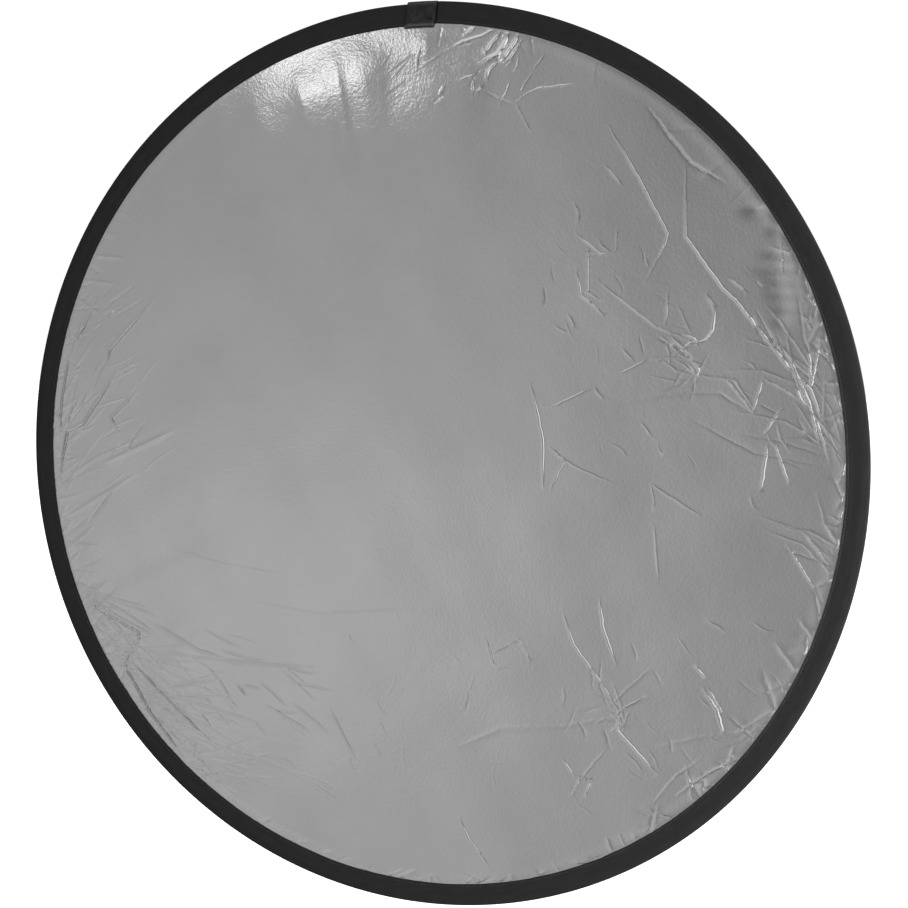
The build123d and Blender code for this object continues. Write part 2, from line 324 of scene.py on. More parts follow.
def loose_fold(line, draw, slope, steepest, ways, widths, gentlest, width=1):
    """A fold of random height and width. A way of 1 goes out of the cloth, and one of -1 into it."""
    flank = width * draw.uniform(*widths) * mm
    rise = slope * draw.uniform(0.4, steepest) * flank * draw.choice(ways)
    return line, rise, flank, flank * draw.uniform(1, gentlest)


def all_folds():
    """Every fold as (line, height, width of the steep flank, width of the gentle flank), in metres."""
    draw = np.random.default_rng(7)
    folds = []
    for points, slope, width in right_folds + lower_folds + left_folds + top_folds:
        line = crinkle([(x * cm, z * cm) for x, z in points], draw, straightness(points[0][0]))
        sharp = 1.5 if points[0][0] > 0 else 1.0
        folds.append((line, sharp * slope * width * mm, 0.85 * width * mm, 1.3 * width * mm))
    for source, first, last, count, lengths, slope in crease_fans:
        for k in range(count):
            heading = radians(first + (last - first) * (k + draw.uniform(0, 1)) / count)
            start = (source[0] + draw.uniform(-1.5, 1.5), source[1] + draw.uniform(-1.5, 1.5))
            line = bent_crease(start, heading, draw.uniform(*lengths), draw, straightness(source[0]))
            folds.append(loose_fold(line, draw, slope, 1.3, [1, 1, -1], (0.6, 1.2), 1.8))
    for middle, half, count, heading, spread, lengths, slope in small_crease_patches:
        for _ in range(count):
            start = [middle[k] + draw.uniform(-1, 1) * half[k] for k in (0, 1)]
            way = radians(heading + draw.uniform(-1, 1) * spread)
            line = bent_crease(start, way, draw.uniform(*lengths), draw, straightness(middle[0]))
            folds.append(loose_fold(line, draw, slope, 1.4, [1, 1, -1], (0.5, 1.0), 1.8))
    for first, last, count, lengths, slope, width in gather_stretches:
        for k in range(count):
            clock = radians(first + (last - first) * (k + draw.uniform(0, 1)) / count)
            lean = clock + radians(draw.uniform(-4, 4))
            outer = tape_inner + 1.5 * mm
            inner = outer - draw.uniform(*lengths) * cm
            ends = [(outer * sin(clock), outer * cos(clock)), (inner * sin(lean), inner * cos(lean))]
            line = crinkle(ends, draw)
            folds.append(loose_fold(line, draw, slope, 1.3, [1, -1], (0.6, 1.4), 2, width))
    return [fold for fold in folds if np.hypot(*fold[0].T).min() < tape_inner]


def beside(fold, x, z):
    """For each point: its signed distance from a fold's line, and its place along it from 0 to 1."""
    line = fold[0]
    runs = np.diff(line, axis=0)
    lengths = np.hypot(*runs.T)
    starts = np.concatenate(([0], np.cumsum(lengths)))
    nearest = np.full(len(x), np.inf)
    signed = np.zeros(len(x))
    place = np.zeros(len(x))
    for a, run, length, start in zip(line, runs, lengths, starts):
        along = ((x - a[0]) * run[0] + (z - a[1]) * run[1]) / length
        held = np.clip(along, 0, length)
        dx = x - a[0] - run[0] / length * held
        dz = z - a[1] - run[1] / length * held
        distance = np.hypot(dx, dz)
        closer = distance < nearest
        side = np.sign(run[0] * dz - run[1] * dx)
        nearest[closer] = distance[closer]
        signed[closer] = (distance * side)[closer]
        place[closer] = (start + held[closer]) / starts[-1]
    return signed, place


def hanging(x, z):
    """Height of the soft pleats that hang from the rim."""
    radius = np.hypot(x, z)
    clock = np.degrees(np.arctan2(x, z))
    height = np.zeros_like(x)
    for middle, half, rise, length, soft in drapes:
        away = np.abs((clock - middle + 180) % 360 - 180) / half
        depth = (tape_inner - radius) / (length * cm)
        fall = smooth_step(depth, 0, 1) * (1 - smooth_step(depth, 1, 3))
        height += rise * mm * np.exp(-(away ** (1 + soft))) * fall
    return height


def dented(x, z):
    """Height of the soft dents beside the rim: short above the middle of each, long below it."""
    height = np.zeros_like(x)
    for middle_x, middle_z, half, slope in dents:
        above = z - middle_z * cm
        reach = np.where(above > 0, 4 * mm, 8 * mm)
        height -= slope * 4 * mm * np.exp(-((above / reach) ** 2) - ((x / cm - middle_x) / half) ** 2)
    return height


# The rim that mirrors the lamp, in degrees clockwise from the top, and its half length. It stays flat.
lamp_clock = -14
lamp_reach = 17


def relief(x, z, folds):
    """How far the cloth stands out of the disc's middle surface, towards the silver side."""
    height = 0.35 * mm * np.sin(21 * x + 9 * z + 1.0) * np.sin(14 * z - 8 * x + 0.4)
    height += 0.16 * mm * np.sin(47 * x - 13 * z + 2.2) * np.sin(39 * z + 11 * x)
    height += hanging(x, z) + dented(x, z)
    ridges = np.zeros_like(x)
    valleys = np.zeros_like(x)
    for fold in folds:
        line, rise, steep, gentle = fold
        margin = 5 * gentle
        low, high = line.min(axis=0) - margin, line.max(axis=0) + margin
        near = (x > low[0]) & (x < high[0]) & (z > low[1]) & (z < high[1])
        if not near.any():
            continue
        signed, place = beside(fold, x[near], z[near])
        flank = np.where(signed > 0, steep, gentle)
        taper = np.minimum(1, 4 * np.minimum(place, 1 - place)) * 0.85 + 0.15
        slant = np.clip(1 - np.abs(signed) / (1.8 * flank), 0, 1) ** 1.4
        lifted = 1.25 * rise * taper * slant
        ridges[near] = np.maximum(ridges[near], lifted)
        valleys[near] = np.minimum(valleys[near], lifted)
    height += ridges + valleys
    radius = np.hypot(x, z)
    rounded = smooth_step(radius, tape_inner - 16 * mm, tape_inner - 3.5 * mm)
    from_lamp = (np.degrees(np.arctan2(x, z)) - lamp_clock) / lamp_reach
    rounded *= 1 - np.exp(-(from_lamp**4))
    height += 0.28 * mm * rounded * (1 - smooth_step(radius, tape_inner - 3.5 * mm, tape_inner))
    settle = 1 - smooth_step(radius, tape_inner - 4 * mm, tape_inner + 3 * mm)
    pressed = np.clip(height, -0.2 * mm, 0.2 * mm)
    held = 1 - smooth_step(radius, tape_inner, tape_inner + 5 * mm)
    return height * settle + pressed * (1 - settle) * held


def wear(x, z):
    """How crumpled the cloth is, 0 to 1: most where the disc bends sharply when it is folded away."""
    worn = 0.12 + 0.0 * x
    for middle_x, middle_z, reach, amount in worn_places:
        worn += amount * np.exp(-((x / cm - middle_x) ** 2 + (z / cm - middle_z) ** 2) / reach**2)
    return np.clip(worn, 0, 1)


def circle(radius, angle):
    return np.stack([radius * np.sin(angle), radius * np.cos(angle)], axis=1)


def cloth_points(folds):
    """Points over the disc, closer together beside the folds and near the rim."""
    coarse = 4.6 * mm
    count = int(cloth_edge / coarse) + 1
    row, column = np.meshgrid(np.arange(-count, count + 1), np.arange(-count, count + 1))
    x = (row + 0.5 * (column % 2)) * coarse
    z = column * coarse * sqrt(3) / 2
    inside = np.hypot(x, z) < tape_inner - 22 * mm
    field = np.stack([x[inside], z[inside]], axis=1)
    rings = []
    for radius in np.arange(tape_inner - 21 * mm, tape_inner + 5 * mm, 2.6 * mm):
        angle = np.arange(0, 2 * pi, 3.2 * mm / disc_radius) + radius * 1000
        rings.append(circle(radius, angle))
    edge = circle(cloth_edge, np.linspace(0, 2 * pi, 901)[:-1])
    crests, flanks = [], []
    keep = np.ones(len(field), bool)
    for fold in folds:
        line = fold[0]
        low, high = line.min(axis=0) - 6 * mm, line.max(axis=0) + 6 * mm
        near = ((field > low) & (field < high)).all(axis=1)
        signed, _ = beside(fold, field[near, 0], field[near, 1])
        keep[np.nonzero(near)[0][np.abs(signed) < 4.6 * mm]] = False
        for a, b in zip(line, line[1:]):
            run = b - a
            length = np.hypot(*run)
            side = np.array([-run[1], run[0]]) / length
            steps = max(1, round(length / (2.2 * mm)))
            along = a + np.outer(np.arange(steps) / steps, run)
            crests.append(along)
            for offset in (-4.0, -2.0, -1.1, -0.5, 0.5, 1.1, 2.0, 4.0):
                flanks.append(along + side * offset * mm)
    points = np.concatenate(crests + flanks + rings + [field[keep]])
    points = points[np.hypot(*points.T) < tape_inner + 6 * mm]
    points = np.concatenate([points, edge])
    cell = np.round(points / (0.45 * mm)).astype(int)
    _, first = np.unique(cell, axis=0, return_index=True)
    return points[np.sort(first)]


def woven_disc():
    """The cloth's flat net of triangles and its relief at each corner."""
    folds = all_folds()
    flat = [Vector(p) for p in cloth_points(folds).tolist()]
    corners, _, faces, _, _, _ = delaunay_2d_cdt(flat, [], [], 0, 1e-7, False)
    corners = np.array([tuple(c) for c in corners])
    x, z = corners.T
    return x, z, faces, relief(x, z, folds)


# ---- Meshes -------------------------------------------------------------------------------------
def make_mesh(name, corners, faces, lay, normals=None):
    """A smooth mesh. lay holds each corner's place along and across its material, in metres."""
    mesh = bpy.data.meshes.new(name)
    mesh.from_pydata(np.asarray(corners).tolist(), [], [list(f) for f in faces])
    mesh.polygons.foreach_set("use_smooth", [True] * len(mesh.polygons))
    attribute = mesh.attributes.new("lay", "FLOAT_VECTOR", "POINT")
    attribute.data.foreach_set("vector", np.asarray(lay, np.float32).ravel())
    if normals is not None:
        mesh.normals_split_custom_set_from_vertices(normals.tolist())
    mesh.update()
    return mesh


def read_points(mesh):
    corners = np.zeros(len(mesh.vertices) * 3)
    normals = np.zeros(len(mesh.vertices) * 3)
    lay = np.zeros(len(mesh.vertices) * 3)
    mesh.vertices.foreach_get("co", corners)
    mesh.vertex_normals.foreach_get("vector", normals)
    mesh.attributes["lay"].data.foreach_get("vector", lay)
    return corners.reshape(-1, 3), normals.reshape(-1, 3), lay.reshape(-1, 3)


def add_object(name, data):
    made = bpy.data.objects.new(name, data)
    bpy.context.scene.collection.objects.link(made)
    return made


def add_piece(name, mesh, finish):
    piece = add_object(name, mesh)
    mesh.materials.append(finish)
    return piece


def strips_of_zone(zone):
    """The strips that a zone's pieces stand for. A zone lies between strip zone and strip zone + 1."""
    if zone < 0:
        return [zone]
    return [0, 1] if zone == 0 else [zone + 1]


def bend_with_frame(piece):
    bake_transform(piece)


def lay_across(name, corners, faces, lay, finish, family):
    """Cut a whole component at the strips' middles into lengths, and hide the frame's pieces that they
    stand for.
    """
    whole = make_mesh(name + "_whole", corners, faces, lay)
    net = bmesh.new()
    net.from_mesh(whole)
    for cut in range(-2, 3):
        everything = net.verts[:] + net.edges[:] + net.faces[:]
        bmesh.ops.bisect_plane(
            net, geom=everything, dist=1e-6, plane_co=(cut * strip_pitch, 0, 0), plane_no=(1, 0, 0)
        )
    net.normal_update()
    net.to_mesh(whole)
    net.free()
    points, normals, notes = read_points(whole)
    middles = np.zeros(len(whole.polygons) * 3)
    whole.polygons.foreach_get("center", middles)
    zones = np.clip(np.floor(middles[0::3] / strip_pitch), -3, 2).astype(int)
    rings = [tuple(face.vertices) for face in whole.polygons]
    pieces = {}
    for zone, zone_name in zip(range(-3, 3), zone_names):
        chosen = [rings[k] for k in np.nonzero(zones == zone)[0]]
        used = np.unique([corner for ring in chosen for corner in ring])
        place = {old: new for new, old in enumerate(used.tolist())}
        rebuilt = [[place[corner] for corner in ring] for ring in chosen]
        mesh = make_mesh(name + "_" + zone_name, points[used], rebuilt, notes[used], normals[used])
        piece = add_piece(name + "_" + zone_name, mesh, finish)
        for strip in strips_of_zone(zone):
            ending = strip_name(strip)
            nodes = [n for n in frame["nodes"] if n.startswith(family) and n.endswith(ending)]
            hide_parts(*nodes)
        bend_with_frame(piece)
        pieces[zone] = piece
    bpy.data.meshes.remove(whole)
    return pieces


def quad_faces(rows, columns, close_rows, close_columns):
    faces = []
    for i in range(rows if close_rows else rows - 1):
        for j in range(columns if close_columns else columns - 1):
            a, b = i * columns + j, i * columns + (j + 1) % columns
            c, d = (i + 1) % rows * columns + (j + 1) % columns, (i + 1) % rows * columns + j
            faces.append((a, b, c, d))
    return faces


def end_caps(ring, total):
    """The two faces that close a bar of corners, each made of the corners of its end ring."""
    return [tuple(range(ring))[::-1], tuple(range(total - ring, total))]


def smooth_line(points, count):
    """A smooth line (Catmull-Rom) through points, sampled evenly in point number."""
    points = np.asarray(points, float)
    padded = np.vstack([2 * points[0] - points[1], points, 2 * points[-1] - points[-2]])
    u = np.linspace(0, len(points) - 1, count)
    k = np.minimum(u.astype(int), len(points) - 2)
    t = (u - k)[:, None]
    a, b, c, d = (padded[k + n] for n in range(4))
    return 0.5 * (2 * b + (c - a) * t + (2 * a - 5 * b + 4 * c - d) * t**2 + (3 * b - a - 3 * c + d) * t**3)


def on_rim(angle, radius, height):
    """Points of the rim, clockwise from the top as the silver side is seen."""
    x, z = radius * np.sin(angle), radius * np.cos(angle)
    return np.stack([x, height + bow(x, z), z], axis=-1)


# ---- Finishes -----------------------------------------------------------------------------------
class Wire:
    """One output in a finish. Arithmetic on it adds Math nodes."""

    def __init__(self, finish, socket):
        self.finish = finish
        self.socket = socket

    def math(self, operation, *others):
        return self.finish.node("ShaderNodeMath", {"operation": operation}, (self,) + others)

    def __add__(self, other):
        return self.math("ADD", other)

    def __sub__(self, other):
        return self.math("SUBTRACT", other)

    def __rsub__(self, other):
        return self.finish.node("ShaderNodeMath", {"operation": "SUBTRACT"}, (other, self))

    def __mul__(self, other):
        return self.math("MULTIPLY", other)

    __radd__ = __add__
    __rmul__ = __mul__

    def sine(self):
        return self.math("SINE")


class Finish:
    """The nodes of a material, or of the room's light."""

    def __init__(self, owner):
        owner.use_nodes = True
        self.owner = owner
        self.tree = owner.node_tree
        self.tree.nodes.clear()

    def node(self, kind, settings=None, inputs=(), output=0):
        """Add a node: its settings first, then the values or wires of its sockets."""
        made = self.tree.nodes.new(kind)
        for key, value in (settings or {}).items():
            if key == "stops":
                ramp = made.color_ramp.elements
                for place, _ in value[2:]:
                    ramp.new(place)
                for element, (place, shade) in zip(ramp, value):
                    element.position = place
                    element.color = (shade, shade, shade, 1)
            else:
                setattr(made, key, value)
        pairs = inputs.items() if isinstance(inputs, dict) else enumerate(inputs)
        for key, value in pairs:
            if isinstance(value, Wire):
                self.tree.links.new(value.socket, made.inputs[key])
            else:
                made.inputs[key].default_value = value
        return Wire(self, made.outputs[output]) if made.outputs else None

    def lay(self):
        """Where a point lies along and across its material, with a third number of the piece's own."""
        return self.node("ShaderNodeAttribute", {"attribute_name": "lay"}, output="Vector")

    def axis(self, vector, number):
        return self.node("ShaderNodeSeparateXYZ", {}, (vector,), number)

    def noise(self, vector, scale, detail=2.0, roughness=0.5):
        inputs = {"Vector": vector, "Scale": scale, "Detail": detail, "Roughness": roughness}
        return self.node("ShaderNodeTexNoise", {}, inputs, "Fac")

    def stretch(self, vector, factors):
        return self.node("ShaderNodeVectorMath", {"operation": "MULTIPLY"}, (vector, factors))

    def ramp(self, value, stops):
        return self.node("ShaderNodeValToRGB", {"stops": stops}, (value,))

    def blend(self, factor, first, second):
        """A colour between two colours."""
        inputs = {0: factor, 6: first, 7: second}
        return self.node("ShaderNodeMix", {"data_type": "RGBA"}, inputs, 2)

    def bump(self, height, distance, strength=1.0):
        inputs = {"Strength": strength, "Distance": distance, "Height": height}
        return self.node("ShaderNodeBump", {}, inputs)

    def finished(self, **sockets):
        """End with the shader that the sockets describe, and give the material."""
        inputs = {key.replace("_", " "): value for key, value in sockets.items()}
        shader = self.node("ShaderNodeBsdfPrincipled", {}, inputs)
        self.node("ShaderNodeOutputMaterial", {}, (shader,))
        return self.owner


def new_finish(name):
    return Finish(bpy.data.materials.new(name))


def grey(value, warmth=0.0):
    return (value * (1 + warmth), value, value * (1 - warmth), 1)


def plain_weave(finish, lay, warp_pitch, weft_pitch):
    """Height of a plain weave, 0 to 1: threads that pass over and under each other."""
    warp = (finish.axis(lay, 0) * (2 * pi / warp_pitch)).sine()
    weft = (finish.axis(lay, 1) * (2 * pi / weft_pitch)).sine()
    return warp * weft * 0.5 + 0.5


cloth_thread = 0.9 * mm              # how far apart the cloths' threads are


def silver_finish():
    finish = new_finish("silver metallised nylon")
    lay = finish.lay()
    worn = finish.axis(lay, 2)
    flat = finish.stretch(lay, (1.0, 1.0, 0.0))
    mottle = finish.noise(flat, 9.0, 4.0, 0.55)
    threads = plain_weave(finish, lay, cloth_thread, cloth_thread)
    crumple = finish.noise(flat, 26.0, 6.0, 0.62)
    grain = finish.noise(flat, 290.0, 2.0, 0.55)
    rough = 0.08 + mottle * 0.02 + worn * 0.03
    colour = finish.blend(finish.ramp(mottle, [(0.3, 0), (0.7, 1)]), grey(0.63), grey(0.68))
    height = threads * 0.005 + grain * 0.13 + crumple * (worn * 0.4 + 0.15)
    return finish.finished(
        Base_Color=colour, Metallic=0.96, Roughness=rough, Normal=finish.bump(height, 0.8 * mm, 1.0)
    )


def white_finish():
    finish = new_finish("white nylon")
    lay = finish.lay()
    mottle = finish.noise(lay, 12.0, 4.0, 0.55)
    threads = plain_weave(finish, lay, cloth_thread, cloth_thread)
    colour = finish.blend(mottle, grey(0.83, 0.004), grey(0.88, 0.002))
    height = threads * 0.15 + finish.noise(lay, 70.0, 5.0, 0.6) * 0.6
    return finish.finished(
        Base_Color=colour, Roughness=0.62 + mottle * 0.1, Sheen_Weight=0.15, Sheen_Roughness=0.5,
        Normal=finish.bump(height, 0.3 * mm)
    )


def tape_finish():
    finish = new_finish("black edge tape")
    lay = finish.lay()
    ribs = plain_weave(finish, lay, 1.1 * mm, 1.5 * mm)
    worn = finish.noise(finish.stretch(lay, (1.0, 4.0, 1.0)), 40.0, 4.0, 0.6)
    groove_and_shade = finish.axis(lay, 2)
    colour = finish.blend(worn, grey(0.006), grey(0.012))
    # Painted shade: the colour goes near black in the groove beside the tab's right edge.
    colour = finish.blend(groove_and_shade, colour, grey(0.001))
    height = ribs * 0.5 + finish.noise(lay, 220.0, 3.0) * 0.35
    return finish.finished(
        Base_Color=colour, Roughness=0.55 + worn * 0.15, Specular_IOR_Level=0.08, Sheen_Weight=0.02,
        Sheen_Roughness=0.45, Normal=finish.bump(height, 0.15 * mm)
    )


def tab_finish():
    finish = new_finish("black tab webbing")
    lay = finish.lay()
    pebble = finish.noise(lay, 330.0, 3.0, 0.65)
    worn = finish.ramp(finish.noise(lay, 130.0, 4.0, 0.65), [(0.38, 0), (0.66, 1)])
    ribs = plain_weave(finish, lay, 2.4 * mm, 1.6 * mm)
    lighter_bands = finish.axis(lay, 2)
    colour = finish.blend(worn, grey(0.004), grey(0.014))
    # The colour is lighter in bands at the tab's front end and where it turns over the rim.
    colour = finish.blend(lighter_bands * (0.3 + pebble), colour, grey(0.045))
    height = pebble * 0.8 + ribs * 0.35
    return finish.finished(
        Base_Color=colour, Roughness=0.45 + pebble * 0.2, Specular_IOR_Level=0.2,
        Normal=finish.bump(height, 0.7 * mm)
    )


def thread_finish():
    finish = new_finish("black sewing thread")
    lay = finish.lay()
    slant = finish.axis(lay, 0) + finish.axis(lay, 1) * 0.8
    twist = (slant * (2 * pi / (0.5 * mm))).sine() * 0.5 + 0.5
    colour = finish.blend(twist, grey(0.012), grey(0.03))
    return finish.finished(
        Base_Color=colour, Roughness=0.5 + twist * 0.1, Normal=finish.bump(twist, 0.08 * mm)
    )


def steel_finish(name, bright, dark, rough):
    finish = new_finish(name)
    lay = finish.lay()
    brushed = finish.noise(finish.stretch(lay, (30.0, 900.0, 1.0)), 4.0, 3.0, 0.6)
    stain = finish.noise(lay, 60.0, 4.0, 0.6)
    return finish.finished(
        Base_Color=finish.blend(stain, bright, dark), Metallic=1.0, Roughness=rough + brushed * 0.15,
        Normal=finish.bump(brushed, 0.03 * mm)
    )


silver = silver_finish()
white = white_finish()
tape = tape_finish()
webbing = tab_finish()
thread = thread_finish()
blued_steel = steel_finish("blued spring steel", (0.2, 0.22, 0.27, 1), (0.12, 0.12, 0.15, 1), 0.3)
plated_steel = steel_finish("zinc plated steel", (0.6, 0.6, 0.6, 1), (0.45, 0.46, 0.47, 1), 0.35)
rivet_metal = steel_finish("satin rivet metal", (0.7, 0.7, 0.7, 1), (0.6, 0.6, 0.6, 1), 0.3)


# ---- Cloths -------------------------------------------------------------------------------------
def zone_area(zone):
    """Flat area, width and height of one length of cloth, between two vertical lines of the disc."""
    low = -cloth_edge if zone == -3 else zone * strip_pitch
    high = cloth_edge if zone == 2 else (zone + 1) * strip_pitch

    def below(x):
        turn = asin(max(-1, min(1, x / cloth_edge)))
        return x * sqrt(max(0, cloth_edge**2 - x * x)) + cloth_edge**2 * turn

    nearest = 0 if low <= 0 <= high else min(abs(low), abs(high))
    return below(high) - below(low), high - low, 2 * sqrt(cloth_edge**2 - nearest**2)


cloth_x, cloth_z, cloth_faces, cloth_relief = woven_disc()
layer_offset = cloth_half / 2        # from the disc's middle surface to the middle of one cloth
white_relief = 0.85                  # the white cloth's creases are a little lower
for cloth_name, finish, slot, family, side in [
    ("silver_cloth", silver, "silver_fabric", "silver_panel", -1),
    ("white_cloth", white, "white_fabric", "white_panel", 1),
]:
    stand = cloth_relief if side < 0 else cloth_relief * white_relief
    y = bow(cloth_x, cloth_z) - stand + side * layer_offset
    corners = np.stack([cloth_x, y, cloth_z], axis=1)
    faces = cloth_faces if side < 0 else [face[::-1] for face in cloth_faces]
    lay = np.stack([cloth_x, cloth_z, wear(cloth_x, cloth_z)], axis=1)
    lengths = lay_across(cloth_name, corners, faces, lay, finish, family)
    for zone, piece in lengths.items():
        area, width, height = zone_area(zone)


# ---- Edge tape ----------------------------------------------------------------------------------
# Half of the tape's outline, from its inner edge over the hoop to the outer edge: millimetres in from
# the outer edge, and millimetres from the middle. The groove is where the seam pulls it down.
tape_outline = [
    (25.0, 0.62), (25.0, 1.15), (24.6, 1.42), (23.6, 1.40), (22.7, 1.08), (22.2, 1.05), (21.4, 1.36),
    (19.0, 1.75), (16.0, 2.40), (12.5, 3.30), (9.5, 4.00), (7.5, 4.32), (5.0, 4.42), (2.6, 4.44),
    (1.3, 4.25), (0.45, 3.70), (0.05, 2.80), (0.10, 1.40), (0.15, 0.0),
]
pocket_outline = [(1.1, 0.0), (1.1, 3.6), (7.0, 3.6), (18.5, 0.62)]
tape_width = 25 * mm
joint_step = 1.4 * mm                # the tape's two ends don't quite line up under the tab
joint_reach = 55 * mm


def from_tab(angle):
    """Angle clockwise from the tab's middle, between -pi and pi."""
    return (angle - tab_middle + pi) % (2 * pi) - pi


def joint_shift(angle):
    """How far the rim stands out or in, beside the place where the tape's two ends meet."""
    along = from_tab(angle) * disc_radius
    fall = np.exp(-np.abs(along) / joint_reach)
    return joint_step * np.tanh(along / (7 * mm)) * fall


def tape_loop():
    """The tape's whole closed outline as rows of (depth from the outer edge, distance from the middle)."""
    outside = smooth_line(tape_outline, 40)
    inside = np.array(pocket_outline)
    loop = np.vstack([outside, outside[-2::-1] * (1, -1), inside[::-1][:0:-1] * (1, -1), inside[1:]])
    return loop * mm


tab_lean = 0.17                      # sideways for each unit outward
tab_depth = 13 * mm                  # from the disc's outer edge to the middle of the tab


def tab_edge(angle, radius, side):
    """Distance along the rim from the tab's right (1) or left (-1) edge, which leans with the tab."""
    along = from_tab(angle) * radius
    return along - tab_lean * (radius - disc_radius + tab_depth) - side * tab_width / 2


loop = tape_loop()
beside_tab = tab_middle + (tab_width / 2 + np.linspace(-4, 8, 25) * mm) / disc_radius
angles = np.sort(np.concatenate([np.linspace(0, 2 * pi, 1081)[:-1], beside_tab]))
inward = loop[:, 0] / tape_width
outer_face = np.abs(loop[None, :, 1]) > 1 * mm
wander = 0.35 * mm * ripple(angles, [7, 13, 23, 41, 67, 97], 3)
lift = 0.22 * mm * ripple(angles, [11, 29, 53, 83, 131], 5)
radius = disc_radius - loop[None, :, 0] + (wander[:, None] * inward) + joint_shift(angles)[:, None]
height = loop[None, :, 1] + lift[:, None] * inward * np.sign(loop[None, :, 1]) * outer_face
# The groove beside the tab's right edge is pressed into the tape, and the lay's third number carries it to
# paint shade near black into the tape's colour there.
groove_and_shade = np.exp(-((tab_edge(angles[:, None], radius, 1) - 0.9 * mm) / (1.1 * mm)) ** 2)
height -= np.sign(height) * outer_face * groove_and_shade * 0.75 * mm
corners = on_rim(angles[:, None], radius, height).reshape(-1, 3)
along = np.repeat(angles * disc_radius, len(loop))
girth = np.concatenate(([0], np.cumsum(np.hypot(*np.diff(loop, axis=0).T))))
across = np.tile(girth, len(angles))
lay = np.stack([along, across, groove_and_shade.ravel()], axis=1)
faces = quad_faces(len(angles), len(loop), True, True)
lay_across("edge_tape", corners, faces, lay, tape, "edge_binding")


# ---- Spring hoop --------------------------------------------------------------------------------
def rounded_bar(thick, wide, corner=0.2 * mm):
    """Outline of a flat bar with eased edges, as (thickness, width) rows round its middle."""
    a, b = thick / 2, wide / 2
    quarter = [(a, b - corner), (a - corner * 0.3, b - corner * 0.3), (a - corner, b)]
    half = quarter + [(-p, q) for p, q in quarter[::-1]]
    return np.array(half + [(-p, -q) for p, q in half])


bar = rounded_bar(hoop_outer - hoop_inner, 2 * hoop_half)
hoop_ends = 0.15 * mm / disc_radius
angles = tab_middle + np.linspace(hoop_ends, 2 * pi - hoop_ends, 721)
radius = (hoop_outer + hoop_inner) / 2 + bar[None, :, 0] + 0 * angles[:, None]
corners = on_rim(angles[:, None], radius, bar[None, :, 1] + 0 * angles[:, None]).reshape(-1, 3)
along = np.repeat(angles * disc_radius, len(bar))
lay = np.stack([along, np.tile(bar[:, 1], len(angles)), np.zeros_like(along)], axis=1)
faces = quad_faces(len(angles), len(bar), False, True)
faces += end_caps(len(bar), len(corners))
hoop = lay_across("hoop_band", corners, faces, lay, blued_steel, "spring_hoop")
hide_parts("spring_hoop_right_end")
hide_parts("spring_hoop_left_end")


def carried(node, name, finish):
    """A copy of one of the frame's pieces near the top fold, moved onto the disc's bow in place of that
    piece.
    """
    source = frame["nodes"][node].data
    corners = np.array([v.co for v in source.vertices])
    corners[:, 1] += bow(corners[:, 0], corners[:, 2])
    faces = [tuple(face.vertices) for face in source.polygons]
    mesh = make_mesh(name, corners, faces, corners)
    mesh.polygons.foreach_set("use_smooth", [False] * len(mesh.polygons))
    piece = add_piece(name, mesh, finish)
    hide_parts(node)
    bend_with_frame(piece)


carried("hoop_joint_sleeve", "joint_sleeve", plated_steel)
carried("hoop_rivet_left", "joint_rivet_left", rivet_metal)
carried("hoop_rivet_right", "joint_rivet_right", rivet_metal)

# ---- Seam: single stitches round both faces of the tape -----------------------------------------
stitch_pitch = 3.8 * mm
stitch_length = 3.1 * mm
stitch_thick = 0.27 * mm
seam_radius = disc_radius - 22.45 * mm
on_tape = 1.16 * mm                  # the stitches' distance from the disc's middle surface
on_tab = 2.62 * mm


def stitch_template():
    """One stitch: a short bead, highest in its middle, as rows of (along, across, out)."""
    rings, sides = 7, 6
    rows = []
    for i in range(rings):
        t = -1 + 2 * i / (rings - 1)
        thick = stitch_thick * max(0.25, (1 - t**4)) ** 0.5
        for k in range(sides):
            turn = 2 * pi * k / sides
            out = thick * sin(turn) + 0.16 * mm * (1 - t * t)
            rows.append((t * stitch_length / 2, thick * cos(turn), out))
    faces = quad_faces(rings, sides, False, True)
    faces += end_caps(sides, rings * sides)
    return np.array(rows), faces


def sew(angles, radius, stand, slant=0.05):
    """Stitches at the given angles on both faces, a distance from the disc's middle surface."""
    bead, bead_faces = stitch_template()
    corners, faces, lay = [], [], []
    for side in (-1, 1):
        turn = angles[:, None] + bead[None, :, 0] / radius
        out = radius + bead[None, :, 1] + slant * bead[None, :, 0] + joint_shift(turn)
        height = side * (stand + bead[None, :, 2])
        points = on_rim(turn, out, height).reshape(-1, 3)
        base = sum(len(c) for c in corners)
        for k in range(len(angles)):
            shift = base + k * len(bead)
            rings = [tuple(shift + c for c in face) for face in bead_faces]
            faces += rings if side < 0 else [ring[::-1] for ring in rings]
        corners.append(points)
        lay.append(np.tile(bead, (len(angles), 1)))
    return np.concatenate(corners), faces, np.concatenate(lay)


stitch_count = int(2 * pi * seam_radius / stitch_pitch)
angles = np.arange(stitch_count) * 2 * pi / stitch_count
under_tab = np.abs(from_tab(angles)) * disc_radius < tab_width / 2 + 1.5 * mm
corners, faces, lay = sew(angles[~under_tab], seam_radius, on_tape)
lay_across("seam_stitches", corners, faces, lay, thread, "seam_thread")

# ---- End tab ------------------------------------------------------------------------------------
tab_thick = 0.9 * mm
# The tab's middle layer from its front end over the rim: depth from the outer edge and height, in mm
tab_path = [
    (28.3, 1.25), (26.0, 1.55), (24.0, 2.05), (21.5, 2.25), (18.0, 2.75), (14.0, 3.75), (10.5, 4.65),
    (7.0, 5.12), (3.5, 5.22), (0.9, 5.05), (-0.45, 4.3), (-0.85, 3.0), (-0.85, 1.2), (-0.85, 0),
]


